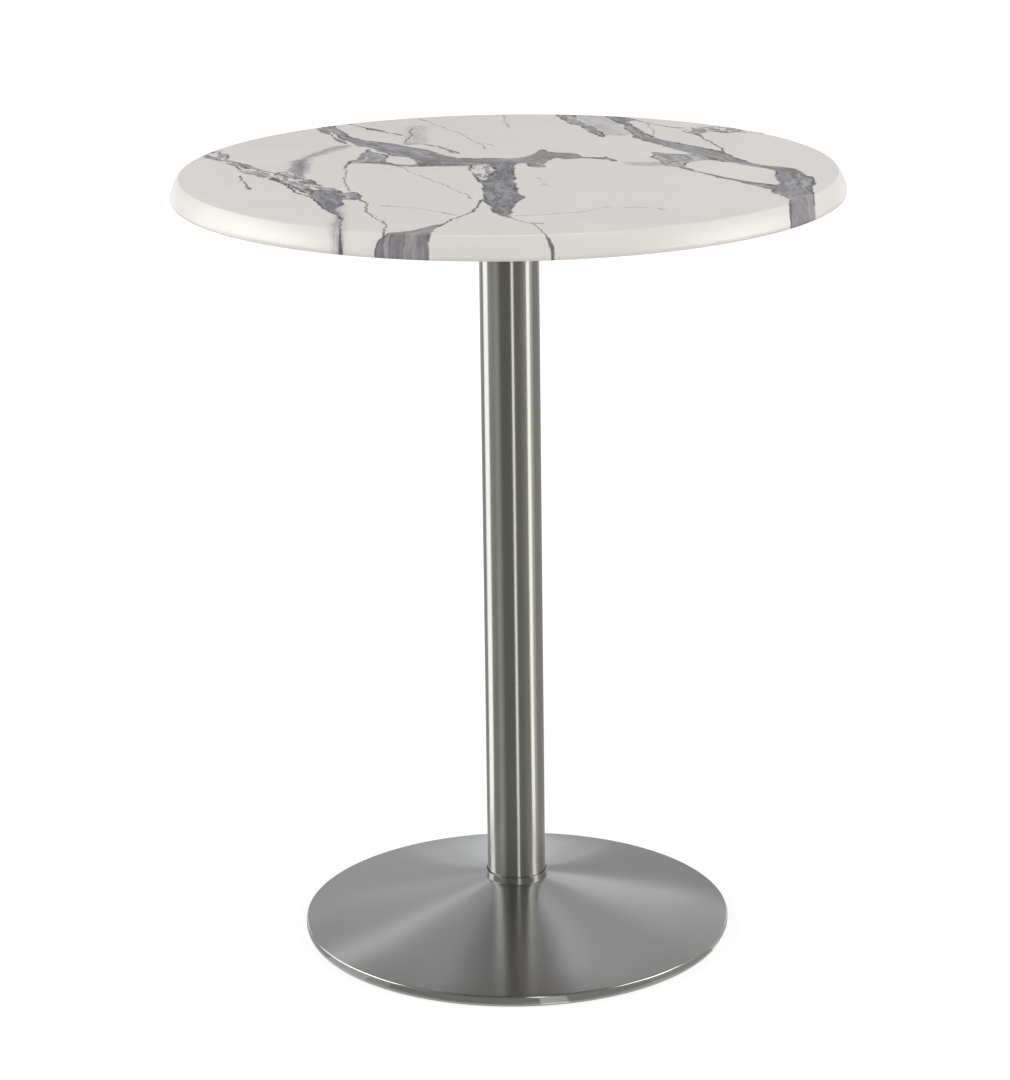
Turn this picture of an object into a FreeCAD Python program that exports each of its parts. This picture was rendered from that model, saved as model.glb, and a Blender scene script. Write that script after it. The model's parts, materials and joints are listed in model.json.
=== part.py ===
import FreeCAD
import Part
import math
import os

# Round bar table, in millimetres: a wrapped round top on a stainless column and a spun
# conical base. +Z is up, and the origin is on the floor under the column's axis.
# Four levelling feet screw out of the base plate, and nothing else moves.

# Whole table
TABLE_HEIGHT = 1067.0
TOP_DIAMETER = 890.0
BASE_DIAMETER = 590.0
COLUMN_DIAMETER = 80.0
COLUMN_WALL = 1.5

# Top: a core panel and a build-up ring under its edge, wrapped in one decor skin
SKIN_THICKNESS = 0.8
SKIN_RETURN = 16.0  # width of skin folded under the edge
PANEL_THICKNESS = 18.0
EDGE_DEPTH = 30.0  # from the top face to the underside of the edge
EDGE_INSET = 12.0  # from the crease round the top face out to the widest line
EDGE_CROWN_RADIUS = 70.0  # gentle swell of the sloping edge
EDGE_FOOT_RADIUS = 5.0  # rounding at its foot
CREASE_RADIUS = 2.0
EDGE_RING_WIDTH = 60.0
BACKING_THICKNESS = 0.6

# Fixings between the top and its spider
INSERT_DIAMETER = 10.0
INSERT_LENGTH = 12.0
SCREW_DIAMETER = 6.0
SCREW_ENGAGEMENT = 10.0
SCREW_HEAD_DIAMETER = 12.0
SCREW_HEAD_HEIGHT = 4.0
SCREW_HEAD_ROUND = 1.6
SCREW_KEY_WIDTH = 4.0
SCREW_KEY_DEPTH = 2.2
SCREW_WASHER_DIAMETER = 18.0
SCREW_WASHER_THICKNESS = 1.6

# Spider: a flat cross with rounded arm ends and a plug that enters the column
SPIDER_SPAN = 420.0
SPIDER_ARM_WIDTH = 50.0
SPIDER_ARMS = 4
SPIDER_FIRST_ARM_DEG = 45.0
SPIDER_CENTRE_DIAMETER = 150.0
SPIDER_THICKNESS = 6.0
SPIDER_EDGE_ROUND = 1.0
INNER_SCREW_CIRCLE = 230.0
PLUG_LENGTH = 30.0  # how far either hub enters the column

# Tie rod that clamps spider, column and base together
ROD_DIAMETER = 12.0
ROD_TIP = 2.0  # rod end standing past its nut or short of its hub's face
ROD_NUT_WIDTH = 19.0
ROD_NUT_HEIGHT = 10.0
ROD_WASHER_DIAMETER = 30.0
ROD_WASHER_THICKNESS = 2.5
NUT_RECESS_DIAMETER = 36.0
NUT_RECESS_DEPTH = 8.0  # into the base hub, above the plate

# Base plate and the hub that carries the column
GROUND_CLEARANCE = 3.0  # under the plate, with the feet screwed in
PLATE_THICKNESS = 8.0
PLATE_BAND = 5.0  # height of plate edge left showing under the cover
PLATE_INSET = 1.0  # from the cover's skirt in to the plate's band
PLATE_EDGE_ROUND = 0.8
HUB_FLANGE_DIAMETER = 120.0
HUB_FLANGE_THICKNESS = 12.0
HUB_SCREW_CIRCLE = 92.0
HUB_SCREWS = 4
HUB_SCREW_DIAMETER = 8.0
HUB_SCREW_HEAD_DIAMETER = 16.0
HUB_SCREW_ENGAGEMENT = 9.0
HUB_SCREW_KEY_WIDTH = 5.0
HUB_SCREW_KEY_DEPTH = 2.5

# Spun cover
COVER_THICKNESS = 1.2
COVER_SKIRT = 5.3  # upright stretch between the plate's band and the shoulder
SHOULDER_RADIUS = 2.7
CONE_SLOPE_DEG = 12.4
NECK_RADIUS = 9.0  # sweep from the cone up to the collar round the column
NECK_COLLAR = 2.0
GASKET_THICKNESS = 1.0
GASKET_HEIGHT = 8.0

# Levelling feet: a swivel pad on a threaded stud, turned with a key through the pad
FEET = 4
FIRST_FOOT_DEG = 0.0
FOOT_INSET = 75.0  # from the base's rim in to a foot's axis
STUD_ROOM = 2.0  # from a stud's tip up to the cover, with the feet screwed in
STUD_DIAMETER = 8.0
STUD_HEAD_DIAMETER = 18.0
STUD_HEAD_THICKNESS = 3.0
STUD_KEY_WIDTH = 5.0
STUD_KEY_DEPTH = 2.4
PAD_DIAMETER = 36.0
PAD_HEIGHT = 7.0
PAD_SOLE = 2.0
PAD_ROUND = 1.2
PAD_KEY_HOLE_DIAMETER = 8.0
WELD_NUT_WIDTH = 14.0
WELD_NUT_HEIGHT = 6.5

# Clearances
FIT_PLAY = 0.3  # a plug in the column, and a head or pad in its pocket
THREAD_PLAY = 0.06  # a thread drawn as a plain shank in a plain hole
HOLE_PLAY = 0.5  # a screw through a clearance hole
SEAT_GAP = 0.2  # sheet or rubber against what it wraps
CUT_OVERRUN = 5.0
JOIN_TOLERANCE = 0.000001  # profile points this close are one point

# Hexagon ends are turned down to this share of the width across flats
HEX_END_SHARE = 0.95
HEX_CHAMFER_DEG = 30.0
FULL_TURN_DEG = 360.0
HEX_SIDES = 6

UP = FreeCAD.Vector(0, 0, 1)

# Radii that several pieces share
top_radius = TOP_DIAMETER / 2
base_radius = BASE_DIAMETER / 2
column_radius = COLUMN_DIAMETER / 2
column_bore_radius = column_radius - COLUMN_WALL
plug_radius = column_bore_radius - FIT_PLAY
rod_radius = ROD_DIAMETER / 2
stud_radius = STUD_DIAMETER / 2

# Heights, from the floor up
plate_bottom = GROUND_CLEARANCE
plate_top = plate_bottom + PLATE_THICKNESS
cover_bottom = plate_bottom + PLATE_BAND
column_bottom = plate_top + HUB_FLANGE_THICKNESS
rod_seat = plate_top + NUT_RECESS_DEPTH

# Heights, from the top face down
edge_bottom = TABLE_HEIGHT - EDGE_DEPTH
panel_top = TABLE_HEIGHT - SKIN_THICKNESS
panel_bottom = panel_top - PANEL_THICKNESS
spider_top = panel_bottom - BACKING_THICKNESS
column_top = spider_top - SPIDER_THICKNESS
edge_ring_bore_radius = top_radius - SKIN_THICKNESS - EDGE_RING_WIDTH

# Where the screws and feet stand
outer_screw_radius = (SPIDER_SPAN - SPIDER_ARM_WIDTH) / 2
inner_screw_radius = INNER_SCREW_CIRCLE / 2
hub_screw_radius = HUB_SCREW_CIRCLE / 2
foot_radius = base_radius - FOOT_INSET


def at(radius, height):
    """A point of a turned profile."""
    return FreeCAD.Vector(radius, 0, height)


# The cover's cone, and the centre of the shoulder that leads into it
cone_slope = math.radians(CONE_SLOPE_DEG)
shoulder_centre = at(base_radius - SHOULDER_RADIUS, cover_bottom + COVER_SKIRT)


def line(start, end):
    """A straight edge between two profile points."""
    return Part.LineSegment(start, end).toShape()


def arc(centre, radius, start_deg, end_deg):
    """A profile arc about a centre, with angles from the outward direction upwards."""

    def on(degrees):
        turn = math.radians(degrees)
        return centre + FreeCAD.Vector(radius * math.cos(turn), 0, radius * math.sin(turn))

    return Part.Arc(on(start_deg), on((start_deg + end_deg) / 2), on(end_deg)).toShape()


def outline(*pieces):
    """A closed wire through points and edges given in order, with lines between them."""
    edges = []
    pen = None
    first = None
    for piece in pieces:
        is_point = isinstance(piece, FreeCAD.Vector)
        start = piece if is_point else piece.valueAt(piece.FirstParameter)
        end = piece if is_point else piece.valueAt(piece.LastParameter)
        if pen is None:
            first = start
        elif not pen.isEqual(start, JOIN_TOLERANCE):
            edges.append(line(pen, start))
        if not is_point:
            edges.append(piece)
        pen = end
    edges.append(line(pen, first))
    return Part.Wire(edges)


def turned(*pieces):
    """The solid turned about the table's axis from an outline."""
    return Part.Face(outline(*pieces)).revolve(FreeCAD.Vector(), UP, FULL_TURN_DEG)


def rod(radius, bottom, top, x=0, y=0):
    """An upright cylinder between two heights."""
    return Part.makeCylinder(radius, top - bottom, FreeCAD.Vector(x, y, bottom), UP)


def tube(outer_radius, inner_radius, bottom, top, x=0, y=0):
    """An upright tube between two heights."""
    bore = rod(inner_radius, bottom - CUT_OVERRUN, top + CUT_OVERRUN, x, y)
    return rod(outer_radius, bottom, top, x, y).cut(bore)


def hexagon(width, bottom, top, x=0, y=0):
    """An upright hexagonal bar, by its width across flats."""
    corner_radius = width / 2 / math.cos(math.pi / HEX_SIDES)
    corners = [
        FreeCAD.Vector(
            x + corner_radius * math.cos(2 * math.pi * side / HEX_SIDES),
            y + corner_radius * math.sin(2 * math.pi * side / HEX_SIDES),
            bottom,
        )
        for side in range(HEX_SIDES)
    ]
    face = Part.Face(Part.makePolygon(corners + corners[:1]))
    return face.extrude(UP * (top - bottom))


def nut(width, bore_radius, bottom, top, x=0, y=0):
    """A hexagon nut with both ends chamfered."""
    corner_radius = width / 2 / math.cos(math.pi / HEX_SIDES)
    end_radius = HEX_END_SHARE * width / 2
    rise = (corner_radius - end_radius) * math.tan(math.radians(HEX_CHAMFER_DEG))
    envelope = turned(
        at(0, bottom),
        at(end_radius, bottom),
        at(corner_radius, bottom + rise),
        at(corner_radius, top - rise),
        at(end_radius, top),
        at(0, top),
    )
    envelope.translate(FreeCAD.Vector(x, y, 0))
    bore = rod(bore_radius, bottom - CUT_OVERRUN, top + CUT_OVERRUN, x, y)
    return hexagon(width, bottom, top, x, y).common(envelope).cut(bore)


def ring_of_places(count, radius, first_deg):
    """Evenly spaced (x, y) places on a circle."""
    turns = [math.radians(first_deg + FULL_TURN_DEG * step / count) for step in range(count)]
    return [(radius * math.cos(turn), radius * math.sin(turn)) for turn in turns]


def top_screw_places():
    """The two screws on each arm of the spider."""
    inner = ring_of_places(SPIDER_ARMS, inner_screw_radius, SPIDER_FIRST_ARM_DEG)
    outer = ring_of_places(SPIDER_ARMS, outer_screw_radius, SPIDER_FIRST_ARM_DEG)
    return inner + outer


def hub_screw_places():
    """The screws that hold the base hub on the plate, between the feet."""
    half_step = FULL_TURN_DEG / HUB_SCREWS / 2
    return ring_of_places(HUB_SCREWS, hub_screw_radius, FIRST_FOOT_DEG + half_step)


def foot_places():
    """The levelling feet."""
    return ring_of_places(FEET, foot_radius, FIRST_FOOT_DEG)


def edge_profile(inset):
    """The top's outline from its middle to the foot of its edge, moved inwards by inset."""
    face_height = TABLE_HEIGHT - inset
    foot_centre = at(top_radius - EDGE_FOOT_RADIUS, edge_bottom + EDGE_FOOT_RADIUS)
    # the crown starts at the crease and runs on smoothly into the rounding at its foot
    in_from_foot = EDGE_INSET - EDGE_FOOT_RADIUS
    up_from_foot = EDGE_DEPTH - EDGE_FOOT_RADIUS
    reach = math.hypot(in_from_foot, up_from_foot)
    between_centres = EDGE_CROWN_RADIUS - EDGE_FOOT_RADIUS
    along = (EDGE_CROWN_RADIUS**2 - between_centres**2 - reach**2) / (2 * between_centres)
    join = math.atan2(up_from_foot, -in_from_foot) - math.acos(along / reach)
    crown_centre = foot_centre - at(math.cos(join), math.sin(join)) * between_centres
    crown_radius = EDGE_CROWN_RADIUS - inset
    crease = math.asin((face_height - crown_centre.z) / crown_radius)
    return [
        at(0, face_height),
        arc(crown_centre, crown_radius, math.degrees(crease), math.degrees(join)),
        arc(foot_centre, EDGE_FOOT_RADIUS - inset, math.degrees(join), -FULL_TURN_DEG / 4),
    ]


def top_core():
    """Panel and edge ring in one, before they are parted."""
    return turned(*edge_profile(SKIN_THICKNESS), at(0, edge_bottom + SKIN_THICKNESS))


def top_panel():
    """The core panel, drilled blind from below for the threaded inserts."""
    below = rod(top_radius + CUT_OVERRUN, edge_bottom - CUT_OVERRUN, panel_bottom)
    panel = top_core().cut(below)
    for x, y in top_screw_places():
        hole = rod(
            INSERT_DIAMETER / 2 + THREAD_PLAY,
            panel_bottom - CUT_OVERRUN,
            panel_bottom + INSERT_LENGTH + FIT_PLAY,
            x,
            y,
        )
        panel = panel.cut(hole)
    return panel


def edge_ring():
    """The ring glued under the panel to make the edge deep."""
    lower_part = rod(top_radius + CUT_OVERRUN, edge_bottom - CUT_OVERRUN, panel_bottom)
    bore = rod(edge_ring_bore_radius, edge_bottom - CUT_OVERRUN, panel_bottom + CUT_OVERRUN)
    return top_core().common(lower_part).cut(bore)


def decor_skin():
    """The thin decor sheet over the face, round the edge and folded under it."""
    return_radius = top_radius - EDGE_FOOT_RADIUS - SKIN_RETURN
    outside = edge_profile(0)
    inside = edge_profile(SKIN_THICKNESS)
    wrapped = turned(*outside, at(return_radius, edge_bottom), at(0, edge_bottom))
    core = turned(*inside, at(0, edge_bottom + SKIN_THICKNESS))
    window = rod(return_radius, edge_bottom - CUT_OVERRUN, panel_bottom)
    skin = wrapped.cut(core).cut(window)
    crease_radius = top_radius - EDGE_INSET
    crease = [
        edge
        for edge in skin.Edges
        if isinstance(edge.Curve, Part.Circle)
        and abs(edge.Curve.Center.z - TABLE_HEIGHT) < SKIN_THICKNESS / 2
        and abs(edge.Curve.Radius - crease_radius) < SKIN_THICKNESS / 2
    ]
    return skin.makeFillet(CREASE_RADIUS, crease)


def backing_sheet():
    """The balancing sheet under the panel, inside the edge ring."""
    sheet = rod(edge_ring_bore_radius - SEAT_GAP, spider_top, panel_bottom)
    for x, y in top_screw_places():
        hole = rod(INSERT_DIAMETER / 2, spider_top - CUT_OVERRUN, panel_bottom + CUT_OVERRUN, x, y)
        sheet = sheet.cut(hole)
    return sheet


def top_insert(x, y):
    """A threaded insert, flush with the panel's underside."""
    bore_radius = SCREW_DIAMETER / 2 + THREAD_PLAY
    return tube(INSERT_DIAMETER / 2, bore_radius, panel_bottom, panel_bottom + INSERT_LENGTH, x, y)


def top_washer(x, y):
    """A plain washer under a spider arm."""
    bore_radius = SCREW_DIAMETER / 2 + HOLE_PLAY
    bottom = column_top - SCREW_WASHER_THICKNESS
    return tube(SCREW_WASHER_DIAMETER / 2, bore_radius, bottom, column_top, x, y)


def top_screw(x, y):
    """A button-head screw, driven up through a washer and the spider into its insert."""
    seat = column_top - SCREW_WASHER_THICKNESS
    head_bottom = seat - SCREW_HEAD_HEIGHT
    head = rod(SCREW_HEAD_DIAMETER / 2, head_bottom, seat, x, y)
    rim = [edge for edge in head.Edges if edge.BoundBox.ZMax < seat - SCREW_HEAD_HEIGHT / 2]
    head = head.makeFillet(SCREW_HEAD_ROUND, rim)
    shank = rod(SCREW_DIAMETER / 2, seat, panel_bottom + SCREW_ENGAGEMENT, x, y)
    key = hexagon(SCREW_KEY_WIDTH, head_bottom - CUT_OVERRUN, head_bottom + SCREW_KEY_DEPTH, x, y)
    return head.fuse(shank).cut(key)


def spider_arm_pair(degrees):
    """Two opposite arms: one flat bar with round ends."""
    half_width = SPIDER_ARM_WIDTH / 2
    bar = Part.makeBox(2 * outer_screw_radius, SPIDER_ARM_WIDTH, SPIDER_THICKNESS)
    bar.translate(FreeCAD.Vector(-outer_screw_radius, -half_width, column_top))
    for end in (-outer_screw_radius, outer_screw_radius):
        bar = bar.fuse(rod(half_width, column_top, spider_top, end))
    bar.rotate(FreeCAD.Vector(), UP, degrees)
    return bar


def spider_plate():
    """The flat cross that carries the top, with a round middle over the column."""
    cross = rod(SPIDER_CENTRE_DIAMETER / 2, column_top, spider_top)
    for pair in range(SPIDER_ARMS // 2):
        cross = cross.fuse(spider_arm_pair(SPIDER_FIRST_ARM_DEG + FULL_TURN_DEG * pair / SPIDER_ARMS))
    cross = cross.removeSplitter()
    under_face = [edge for edge in cross.Edges if edge.BoundBox.ZMax < column_top + SPIDER_THICKNESS / 2]
    cross = cross.makeFillet(SPIDER_EDGE_ROUND, under_face)
    for x, y in top_screw_places():
        hole = rod(
            SCREW_DIAMETER / 2 + HOLE_PLAY,
            column_top - CUT_OVERRUN,
            spider_top + CUT_OVERRUN,
            x,
            y,
        )
        cross = cross.cut(hole)
    return cross


def spider_hub():
    """The plug welded under the spider: it centres the column and takes the tie rod's thread."""
    return tube(plug_radius, rod_radius + THREAD_PLAY, column_top - PLUG_LENGTH, column_top)


def column_tube():
    """The stainless column, held between the two hubs."""
    return tube(column_radius, column_bore_radius, column_bottom, column_top)


def tie_rod():
    """The threaded rod down the column's middle."""
    nut_bottom = rod_seat - ROD_WASHER_THICKNESS - ROD_NUT_HEIGHT
    return rod(rod_radius, nut_bottom - ROD_TIP, column_top - ROD_TIP)


def tie_washer():
    """The washer between the tie rod's nut and the base hub."""
    bottom = rod_seat - ROD_WASHER_THICKNESS
    return tube(ROD_WASHER_DIAMETER / 2, rod_radius + HOLE_PLAY, bottom, rod_seat)


def tie_nut():
    """The nut that draws the tie rod tight from under the base."""
    top = rod_seat - ROD_WASHER_THICKNESS
    return nut(ROD_NUT_WIDTH, rod_radius + THREAD_PLAY, top - ROD_NUT_HEIGHT, top)


def base_hub():
    """The flanged hub on the base plate that the column slips over."""
    hub = rod(HUB_FLANGE_DIAMETER / 2, plate_top, column_bottom)
    hub = hub.fuse(rod(plug_radius, column_bottom, column_bottom + PLUG_LENGTH))
    hub = hub.cut(rod(NUT_RECESS_DIAMETER / 2, plate_top - CUT_OVERRUN, rod_seat))
    rod_hole_top = column_bottom + PLUG_LENGTH + CUT_OVERRUN
    hub = hub.cut(rod(rod_radius + HOLE_PLAY, plate_top - CUT_OVERRUN, rod_hole_top))
    for x, y in hub_screw_places():
        tapped = rod(
            HUB_SCREW_DIAMETER / 2 + THREAD_PLAY,
            plate_top - CUT_OVERRUN,
            plate_top + HUB_SCREW_ENGAGEMENT + FIT_PLAY,
            x,
            y,
        )
        hub = hub.cut(tapped)
    return hub


def countersunk(head_radius, shank_radius, top, x, y):
    """A flush 90 degree screw form from the plate's underside up to a height."""
    cone_height = head_radius - shank_radius
    cone = Part.makeCone(head_radius, shank_radius, cone_height, FreeCAD.Vector(x, y, plate_bottom), UP)
    return cone.fuse(rod(shank_radius, plate_bottom, top, x, y))


def hub_screw(x, y):
    """A countersunk screw up through the plate into the base hub."""
    screw = countersunk(
        HUB_SCREW_HEAD_DIAMETER / 2,
        HUB_SCREW_DIAMETER / 2,
        plate_top + HUB_SCREW_ENGAGEMENT,
        x,
        y,
    )
    key_bottom = plate_bottom - CUT_OVERRUN
    return screw.cut(hexagon(HUB_SCREW_KEY_WIDTH, key_bottom, plate_bottom + HUB_SCREW_KEY_DEPTH, x, y))


def base_plate():
    """The heavy steel disc, rebated round its upper edge for the cover's skirt."""
    plate = rod(base_radius - PLATE_INSET, plate_bottom, cover_bottom)
    lower_rim = [edge for edge in plate.Edges if edge.BoundBox.ZMax < cover_bottom - PLATE_BAND / 2]
    plate = plate.makeFillet(PLATE_EDGE_ROUND, lower_rim)
    plate = plate.fuse(rod(base_radius - COVER_THICKNESS - SEAT_GAP, plate_bottom, plate_top))
    plate = plate.common(under_cover()).removeSplitter()
    plate = plate.cut(rod(NUT_RECESS_DIAMETER / 2, plate_bottom - CUT_OVERRUN, plate_top + CUT_OVERRUN))
    for x, y in hub_screw_places():
        hole = countersunk(
            HUB_SCREW_HEAD_DIAMETER / 2 + SEAT_GAP,
            HUB_SCREW_DIAMETER / 2 + SEAT_GAP,
            plate_top + CUT_OVERRUN,
            x,
            y,
        )
        plate = plate.cut(hole)
    pocket_top = PAD_HEIGHT + FIT_PLAY
    for x, y in foot_places():
        pocket = rod(PAD_DIAMETER / 2 + FIT_PLAY, plate_bottom - CUT_OVERRUN, pocket_top, x, y)
        tapped = rod(stud_radius + THREAD_PLAY, plate_bottom, plate_top + CUT_OVERRUN, x, y)
        plate = plate.cut(pocket).cut(tapped)
    return plate


def cone_height(radius):
    """The height of the cone's face at a radius, on the line that runs on from the shoulder."""
    rise = shoulder_centre.z + SHOULDER_RADIUS * math.cos(cone_slope)
    reach = shoulder_centre.x + SHOULDER_RADIUS * math.sin(cone_slope)
    return rise + (reach - radius) * math.tan(cone_slope)


def cover_profile(inset):
    """The cover's face from its skirt's foot up to its collar, moved inwards by inset."""
    collar_radius = column_radius + GASKET_THICKNESS + 2 * SEAT_GAP + COVER_THICKNESS
    cone_head_radius = collar_radius + NECK_RADIUS * (1 - math.sin(cone_slope))
    neck_height = cone_height(cone_head_radius) + NECK_RADIUS * math.cos(cone_slope)
    neck_centre = at(collar_radius + NECK_RADIUS, neck_height)
    upright_deg = FULL_TURN_DEG / 4 - CONE_SLOPE_DEG
    half_turn_deg = FULL_TURN_DEG / 2
    return [
        at(base_radius - inset, cover_bottom),
        arc(shoulder_centre, SHOULDER_RADIUS - inset, 0, upright_deg),
        arc(neck_centre, NECK_RADIUS + inset, half_turn_deg + upright_deg, half_turn_deg),
        at(collar_radius - inset, neck_centre.z + NECK_COLLAR),
    ]


def collar_height():
    """The top of the cover's collar round the column."""
    return cover_profile(0)[-1].z


def under_cover():
    """The space that the cover leaves, with its seat gap, down past the plate."""
    outer = base_radius + CUT_OVERRUN
    inner = cover_profile(COVER_THICKNESS + SEAT_GAP)
    return turned(
        at(0, plate_bottom - CUT_OVERRUN),
        at(outer, plate_bottom - CUT_OVERRUN),
        at(outer, cover_bottom),
        *inner,
        at(0, collar_height()),
    )


def base_cover():
    """The spun stainless cover, a thin cone with a rounded shoulder and a flared neck."""
    face = cover_profile(0)
    back = cover_profile(COVER_THICKNESS)
    outside = turned(*face, at(0, collar_height()), at(0, cover_bottom))
    inside = turned(*back, at(0, collar_height()), at(0, cover_bottom))
    return outside.cut(inside)


def neck_gasket():
    """The rubber ring that holds the cover's collar round the column."""
    inner_radius = column_radius + SEAT_GAP
    top = collar_height()
    return tube(inner_radius + GASKET_THICKNESS, inner_radius, top - GASKET_HEIGHT, top)


def foot_weld_nut(x, y):
    """A nut welded on the plate, for the foot's thread."""
    return nut(WELD_NUT_WIDTH, stud_radius + THREAD_PLAY, plate_top, plate_top + WELD_NUT_HEIGHT, x, y)


def foot_stud(x, y):
    """A threaded stud with a flat head in the pad and a key socket below."""
    head_bottom = PAD_SOLE + FIT_PLAY
    head_top = head_bottom + STUD_HEAD_THICKNESS
    cover_underside = cone_height(foot_radius + stud_radius) - COVER_THICKNESS / math.cos(cone_slope)
    tip = cover_underside - STUD_ROOM
    stud = rod(STUD_HEAD_DIAMETER / 2, head_bottom, head_top, x, y)
    stud = stud.fuse(rod(stud_radius, head_bottom, tip, x, y)).removeSplitter()
    key_bottom = head_bottom - CUT_OVERRUN
    return stud.cut(hexagon(STUD_KEY_WIDTH, key_bottom, head_bottom + STUD_KEY_DEPTH, x, y))


def foot_pad(x, y):
    """A round glide pad, hollow for the stud's head and pierced for the key."""
    pad = rod(PAD_DIAMETER / 2, 0, PAD_HEIGHT, x, y)
    rims = [edge for edge in pad.Edges if isinstance(edge.Curve, Part.Circle)]
    pad = pad.makeFillet(PAD_ROUND, rims)
    head_space_top = PAD_SOLE + STUD_HEAD_THICKNESS + 2 * FIT_PLAY
    head_space = rod(STUD_HEAD_DIAMETER / 2 + FIT_PLAY, PAD_SOLE, head_space_top, x, y)
    neck = rod(stud_radius + FIT_PLAY, PAD_SOLE, PAD_HEIGHT + CUT_OVERRUN, x, y)
    key_hole = rod(PAD_KEY_HOLE_DIAMETER / 2, -CUT_OVERRUN, PAD_SOLE + FIT_PLAY, x, y)
    return pad.cut(head_space).cut(neck).cut(key_hole)


def group(maker, places):
    """Identical loose pieces that share one node."""
    return Part.makeCompound([maker(x, y) for x, y in places])


def pieces():
    """Every node of the table by its name."""
    found = {
        "decor_skin": decor_skin(),
        "top_panel": top_panel(),
        "edge_ring": edge_ring(),
        "backing_sheet": backing_sheet(),
        "top_inserts": group(top_insert, top_screw_places()),
        "top_screws": group(top_screw, top_screw_places()),
        "top_washers": group(top_washer, top_screw_places()),
        "spider_plate": spider_plate(),
        "spider_hub": spider_hub(),
        "column_tube": column_tube(),
        "tie_rod": tie_rod(),
        "tie_washer": tie_washer(),
        "tie_nut": tie_nut(),
        "base_cover": base_cover(),
        "neck_gasket": neck_gasket(),
        "base_hub": base_hub(),
        "hub_screws": group(hub_screw, hub_screw_places()),
        "base_plate": base_plate(),
        "foot_weld_nuts": group(foot_weld_nut, foot_places()),
    }
    for number, (x, y) in enumerate(foot_places(), start=1):
        found[f"foot_stud_{number}"] = foot_stud(x, y)
        found[f"foot_pad_{number}"] = foot_pad(x, y)
    return found


os.makedirs("parts", exist_ok=True)
for name, shape in pieces().items():
    shape.exportStep(os.path.join("parts", f"{name}.step"))
    box = shape.BoundBox
    print(f"{name}: {len(shape.Solids)} solids, valid {shape.isValid()}, {box.ZMin:.1f} to {box.ZMax:.1f}")
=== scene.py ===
"""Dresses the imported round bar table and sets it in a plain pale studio.

The decor sheet, the column and the spun cover are turned again as smooth meshes, every
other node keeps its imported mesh, and all of them get procedural finishes.
"""
import json
import logging
import math
from dataclasses import dataclass, field
from enum import Enum

import bmesh
import bpy
from mathutils import Matrix, Vector


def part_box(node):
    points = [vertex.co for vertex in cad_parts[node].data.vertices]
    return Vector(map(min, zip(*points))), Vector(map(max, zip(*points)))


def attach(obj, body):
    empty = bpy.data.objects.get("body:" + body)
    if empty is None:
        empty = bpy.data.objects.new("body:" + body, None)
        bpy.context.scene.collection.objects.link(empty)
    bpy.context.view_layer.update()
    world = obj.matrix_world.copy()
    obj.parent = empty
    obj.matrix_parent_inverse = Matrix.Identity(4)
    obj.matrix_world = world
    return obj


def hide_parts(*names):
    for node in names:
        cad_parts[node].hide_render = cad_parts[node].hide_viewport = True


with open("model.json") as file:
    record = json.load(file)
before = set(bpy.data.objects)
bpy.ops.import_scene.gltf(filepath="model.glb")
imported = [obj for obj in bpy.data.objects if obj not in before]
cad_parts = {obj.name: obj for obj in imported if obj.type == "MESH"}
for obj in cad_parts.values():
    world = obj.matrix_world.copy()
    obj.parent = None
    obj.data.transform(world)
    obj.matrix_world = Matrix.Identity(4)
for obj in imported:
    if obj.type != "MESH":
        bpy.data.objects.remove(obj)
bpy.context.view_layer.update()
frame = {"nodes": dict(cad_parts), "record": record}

BODY = "stand"
MM = 0.001
MERGE = 0.002 * MM
SLIVER = 0.001 * MM
HAIR_WIDTH = 0.62
HAIR_INK = 1.25
LOG = logging.getLogger("bar_table")

Node = bpy.types.Node
Outputs = bpy.types.NodeOutputs
Socket = bpy.types.NodeSocket
Tree = bpy.types.NodeTree
Material = bpy.types.Material
Piece = bpy.types.Object
Feed = Socket | float | int | tuple
Colour = tuple[float, float, float]


def srgb(red: int, green: int, blue: int) -> Colour:
    """Turns a colour as a screen shows it, 0 to 255, into linear shares."""
    shares = (channel / 255 for channel in (red, green, blue))
    return tuple(s / 12.92 if s < 0.04045 else ((s + 0.055) / 1.055) ** 2.4 for s in shares)


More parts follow.
